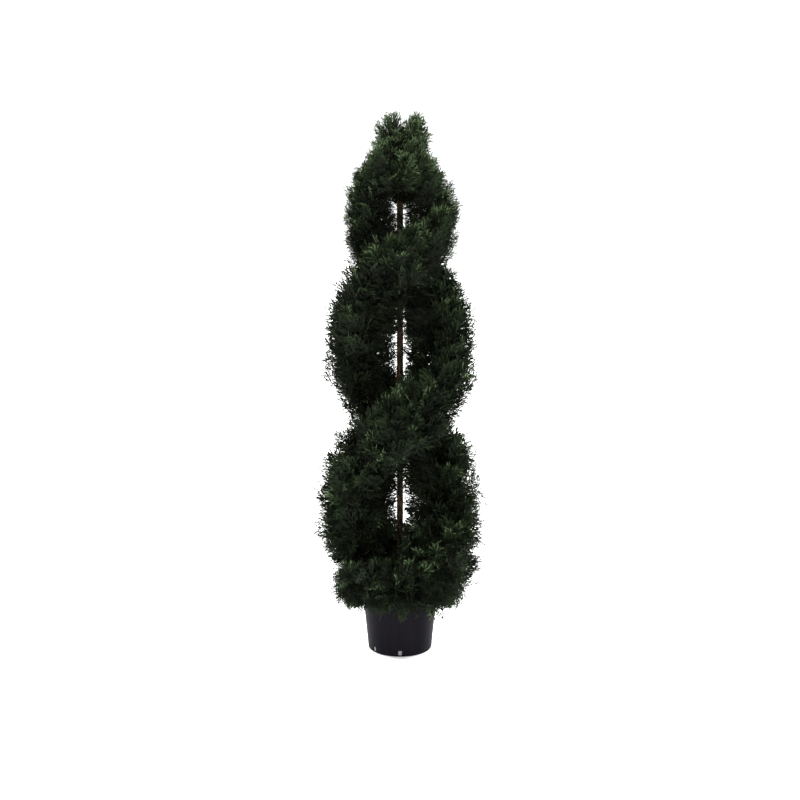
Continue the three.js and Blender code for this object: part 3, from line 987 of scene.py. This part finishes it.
def add_trunk():
    """The pole with the relief of its bark."""
    low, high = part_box("trunk")
    foot_radius = (high.x - low.x) / 2
    vertices = []
    for height in np.linspace(low.z, high.z, BARK_RINGS):
        taper = 1 - POLE_TAPER * (height - low.z) / (high.z - low.z)
        for side in range(BARK_SIDES):
            angle = side * 2 * math.pi / BARK_SIDES
            radius = foot_radius * taper + bark_relief(angle, height)
            vertices.append((radius * math.cos(angle), radius * math.sin(angle), height))
    trunk = mesh_object("trunk_bark", vertices, ring_triangles(BARK_RINGS, BARK_SIDES), bark_material())
    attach(trunk, "root")
    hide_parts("trunk")


def arc(centre, radius, start, end, steps):
    """Points of a rounded edge in a half section, between two angles in degrees."""
    points = []
    for i in range(steps + 1):
        angle = math.radians(start + (end - start) * i / steps)
        points.append((centre[0] + radius * math.cos(angle), centre[1] + radius * math.sin(angle)))
    return points


def pot_outline():
    """Radius and height along the pot's half section, from its underside over its rim to its floor."""
    rim_foot = POT_TOP - RIM_BAND
    slope = (WALL_TOP_RADIUS - POT_FOOT_RADIUS) / POT_TOP
    foot_edge = (POT_FOOT_RADIUS - POT_FOOT_ROUND, POT_FOOT_ROUND)
    lower_edge = (POT_RIM_RADIUS - RIM_LOWER_ROUND, rim_foot + RIM_LOWER_ROUND)
    outer_edge = (POT_RIM_RADIUS - RIM_OUTER_ROUND, POT_TOP - RIM_OUTER_ROUND)
    inner_edge = (WALL_TOP_RADIUS - POT_WALL + RIM_INNER_ROUND, POT_TOP - RIM_INNER_ROUND)
    return [
        *arc(foot_edge, POT_FOOT_ROUND, -90, 0, steps=8),
        (POT_FOOT_RADIUS + slope * rim_foot, rim_foot),
        *arc(lower_edge, RIM_LOWER_ROUND, -90, 0, steps=4),
        *arc(outer_edge, RIM_OUTER_ROUND, 0, 90, steps=6),
        *arc(inner_edge, RIM_INNER_ROUND, 90, 180, steps=4),
        (POT_FOOT_RADIUS + slope * POT_WALL - POT_WALL, POT_WALL),
    ]


def turned_object(name, outline, sides, material):
    """A piece turned round the Z axis from pairs of radius and height, flat at both ends."""
    vertices = []
    for radius, height in outline:
        vertices.extend(ring_points(radius, height, sides))
    faces = ring_quads(len(outline), sides)
    faces.append(tuple(range(sides - 1, -1, -1)))
    faces.append(tuple(range((len(outline) - 1) * sides, len(outline) * sides)))
    return mesh_object(name, vertices, faces, material)


def along_radius(edge):
    """Whether an edge of a slot's box runs about straight away from the pot's axis."""
    nearly_along = 0.9
    middle = (edge.verts[0].co + edge.verts[1].co) / 2
    run = edge.verts[1].co - edge.verts[0].co
    away = Vector((middle.x, middle.y, 0)).normalized()
    return abs(run.normalized().dot(away)) > nearly_along


def slot_cutter():
    """Boxes with rounded corners through the pot's wall, one for each drain slot."""
    shape = bmesh.new()
    size = Matrix.Diagonal((SLOT_WIDTH, SLOT_DEPTH, SLOT_HEIGHT, 1))
    for place in range(SLOT_PLACES):
        if place != CLOSED_SLOT:
            turn = Matrix.Rotation(place * 2 * math.pi / SLOT_PLACES, 4, "Z")
            middle = turn @ Vector((0, -POT_FOOT_RADIUS, SLOT_MIDDLE))
            bmesh.ops.create_cube(shape, size=1, matrix=Matrix.Translation(middle) @ turn @ size)
    corners = [edge for edge in shape.edges if along_radius(edge)]
    bmesh.ops.bevel(shape, geom=corners, offset=SLOT_ROUND, segments=3, profile=0.5, affect="EDGES")
    mesh = bpy.data.meshes.new("slot_cutter")
    shape.to_mesh(mesh)
    shape.free()
    cutter = bpy.data.objects.new("slot_cutter", mesh)
    bpy.context.scene.collection.objects.link(cutter)
    return cutter


def cut_slots(pot):
    """Cuts the drain slots through the pot's wall."""
    cutter = slot_cutter()
    cut = pot.modifiers.new("slots", "BOOLEAN")
    cut.operation = "DIFFERENCE"
    cut.solver = "EXACT"
    cut.object = cutter
    graph = bpy.context.evaluated_depsgraph_get()
    cut_mesh = bpy.data.meshes.new_from_object(pot.evaluated_get(graph))
    pot.modifiers.clear()
    pot.data = cut_mesh
    pot.data.name = "pot_shell"
    bpy.data.objects.remove(cutter)


def add_pot():
    """The pot with its rounded foot, rolled rim and drain slots."""
    pot = turned_object("pot_shell", pot_outline(), POT_SIDES, pot_material())
    cut_slots(pot)
    for polygon in pot.data.polygons:
        polygon.use_smooth = True
    pot.data.set_sharp_from_angle(angle=math.radians(POT_SHARP_ANGLE))
    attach(pot, "root")
    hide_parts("pot")


def cement_height(x, y, top):
    """Height of the uneven top of the cement at a place."""
    place = Vector((x * CEMENT_LUMPS, y * CEMENT_LUMPS, CEMENT_SLICE))
    lump = noise.fractal(place, *CEMENT_OCTAVES)
    return top - CEMENT_SINK + CEMENT_RELIEF * max(-1, min(1, lump))


def add_cement():
    """The cement fill, its top a little uneven as it set."""
    low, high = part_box("cement_fill")
    top_radius = (high.x - low.x) / 2
    vertices = ring_points(POT_FOOT_RADIUS - POT_WALL, low.z, CEMENT_SIDES)
    vertices += ring_points(top_radius, high.z, CEMENT_SIDES)
    for ring in range(1, CEMENT_RINGS):
        radius = top_radius * (1 - ring / CEMENT_RINGS)
        for x, y, _ in ring_points(radius, high.z, CEMENT_SIDES):
            vertices.append((x, y, cement_height(x, y, high.z)))
    faces = ring_triangles(CEMENT_RINGS + 1, CEMENT_SIDES)
    cement = mesh_object("cement_top", vertices, faces, cement_material())
    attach(cement, "root")
    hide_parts("cement_fill")


# Materials

def shader(name, colour, roughness, specular):
    """A material of one plain colour, until a pattern takes its place, and its main shader."""
    material = bpy.data.materials.new(name)
    material.use_nodes = True
    main = material.node_tree.nodes["Principled BSDF"]
    main.inputs["Base Color"].default_value = (*colour, 1)
    main.inputs["Roughness"].default_value = roughness
    main.inputs["Specular IOR Level"].default_value = specular
    return material, main


def noise_colours(material, scale, stretch, colours):
    """Colours a material by noise over the piece, between colours at the given places, and
    returns the noise."""
    nodes, links = material.node_tree.nodes, material.node_tree.links
    place = nodes.new("ShaderNodeTexCoord")
    mapping = nodes.new("ShaderNodeMapping")
    mapping.inputs["Scale"].default_value = stretch
    pattern = nodes.new("ShaderNodeTexNoise")
    pattern.inputs["Scale"].default_value = scale
    pattern.inputs["Detail"].default_value = PATTERN_DETAIL
    ramp = nodes.new("ShaderNodeValToRGB")
    while len(ramp.color_ramp.elements) < len(colours):
        ramp.color_ramp.elements.new(0.5)
    for element, (position, colour) in zip(ramp.color_ramp.elements, colours):
        element.position = position
        element.color = (*colour, 1)
    links.new(place.outputs["Object"], mapping.inputs["Vector"])
    links.new(mapping.outputs["Vector"], pattern.inputs["Vector"])
    links.new(pattern.outputs["Fac"], ramp.inputs["Fac"])
    links.new(ramp.outputs["Color"], nodes["Principled BSDF"].inputs["Base Color"])
    return pattern.outputs["Fac"]


def add_bump(material, pattern, strength, distance):
    """Raises a material's surface where its pattern is high."""
    nodes, links = material.node_tree.nodes, material.node_tree.links
    bump = nodes.new("ShaderNodeBump")
    bump.inputs["Strength"].default_value = strength
    bump.inputs["Distance"].default_value = distance
    links.new(pattern, bump.inputs["Height"])
    links.new(bump.outputs["Normal"], nodes["Principled BSDF"].inputs["Normal"])


@functools.cache
def foliage_material(tone):
    """Moulded foliage of one plain colour, nearly matte: one copy for each tone of painted light and
    shade.
    """
    return shader(f"foliage_{tone}", TONES[tone], roughness=0.7, specular=0.02)[0]


@functools.cache
def twig_material():
    """The near black of boughs, stems and twigs deep inside the foliage."""
    return shader("twig", (0.006, 0.006, 0.004), roughness=0.8, specular=0)[0]


def bark_material():
    """Brown bark, mottled dark and light in patches drawn out along the pole."""
    material, _ = shader("bark", (0.03, 0.02, 0.013), roughness=0.9, specular=0.02)
    pattern = noise_colours(material, scale=120, stretch=(1, 1, 0.3), colours=BARK_COLOURS)
    add_bump(material, pattern, strength=0.6, distance=0.6 * MM)
    return material


def pot_material():
    """Black moulded plastic, faintly streaked from top to bottom."""
    material, _ = shader("pot_plastic", (0.0045, 0.0038, 0.0062), roughness=0.55, specular=0.03)
    pattern = noise_colours(material, scale=60, stretch=(1, 1, 0.12), colours=POT_COLOURS)
    add_bump(material, pattern, strength=0.15, distance=0.3 * MM)
    return material


def cement_material():
    """Light grey cement, speckled and rough."""
    material, _ = shader("cement", (0.43, 0.41, 0.38), roughness=0.9, specular=0.2)
    pattern = noise_colours(material, scale=90, stretch=(1, 1, 1), colours=CEMENT_COLOURS)
    add_bump(material, pattern, strength=0.5, distance=0.8 * MM)
    return material


def floor_material():
    """A white floor with a faint glow of its own, which lightens the shadows on it."""
    material, main = shader("floor", (0.9, 0.9, 0.9), roughness=0.9, specular=0.1)
    main.inputs["Emission Color"].default_value = (1, 1, 1, 1)
    main.inputs["Emission Strength"].default_value = FLOOR_GLOW
    return material


# Camera and stage

def add_camera():
    """The photograph's view: from 3.2 m in front, 1.17 m up, looking a little down."""
    data = bpy.data.cameras.new("camera")
    data.sensor_width = SENSOR_WIDTH
    data.lens = LENS
    camera = bpy.data.objects.new("camera", data)
    camera.location = CAMERA_PLACE
    camera.rotation_euler = (math.radians(90 - CAMERA_DOWN), 0, 0)
    bpy.context.scene.collection.objects.link(camera)
    bpy.context.scene.camera = camera


def add_sun(name, direction, strength, angle):
    """A wide soft light that shines along a direction."""
    data = bpy.data.lights.new(name, "SUN")
    data.energy = strength
    data.angle = math.radians(angle)
    light = bpy.data.objects.new(name, data)
    light.rotation_euler = Vector(direction).to_track_quat("-Z", "Y").to_euler()
    bpy.context.scene.collection.objects.link(light)


def add_sky():
    """A studio's white walls, dimmer overhead and in front of the plant."""
    world = bpy.data.worlds.new("world")
    world.use_nodes = True
    nodes, links = world.node_tree.nodes, world.node_tree.links
    direction = nodes.new("ShaderNodeTexCoord")
    behind = nodes.new("ShaderNodeVectorMath")
    behind.operation = "DOT_PRODUCT"
    behind.inputs[1].default_value = BRIGHT_SIDE
    strength = nodes.new("ShaderNodeMapRange")
    strength.inputs["From Min"].default_value = DIM_UP_TO
    strength.inputs["From Max"].default_value = BRIGHT_FROM
    strength.inputs["To Min"].default_value = SKY_DIM
    strength.inputs["To Max"].default_value = SKY_BRIGHT
    links.new(direction.outputs["Generated"], behind.inputs[0])
    links.new(behind.outputs["Value"], strength.inputs["Value"])
    links.new(strength.outputs["Result"], nodes["Background"].inputs["Strength"])
    nodes["Background"].inputs["Color"].default_value = (1, 1, 1, 1)
    bpy.context.scene.world = world


def add_stage():
    """A plain white floor under soft lights and a pale sky, shown without colour grading."""
    corners = [
        (-FLOOR_REACH, -FLOOR_REACH, 0),
        (FLOOR_REACH, -FLOOR_REACH, 0),
        (FLOOR_REACH, FLOOR_REACH, 0),
        (-FLOOR_REACH, FLOOR_REACH, 0),
    ]
    floor = mesh_object("floor", corners, [(0, 1, 2, 3)], floor_material())
    add_sky()
    add_sun("top_light", direction=(0.1, 0.3, -1), strength=0.5, angle=40)
    add_sun("left_light", direction=(1, -0.8, -0.5), strength=8.8, angle=30)
    add_sun("right_light", direction=(-1, -0.8, -0.5), strength=8.2, angle=30)
    bpy.context.scene.view_settings.view_transform = "Standard"


add_camera()
add_stage()
add_pot()
add_cement()
add_trunk()
add_all_foliage()
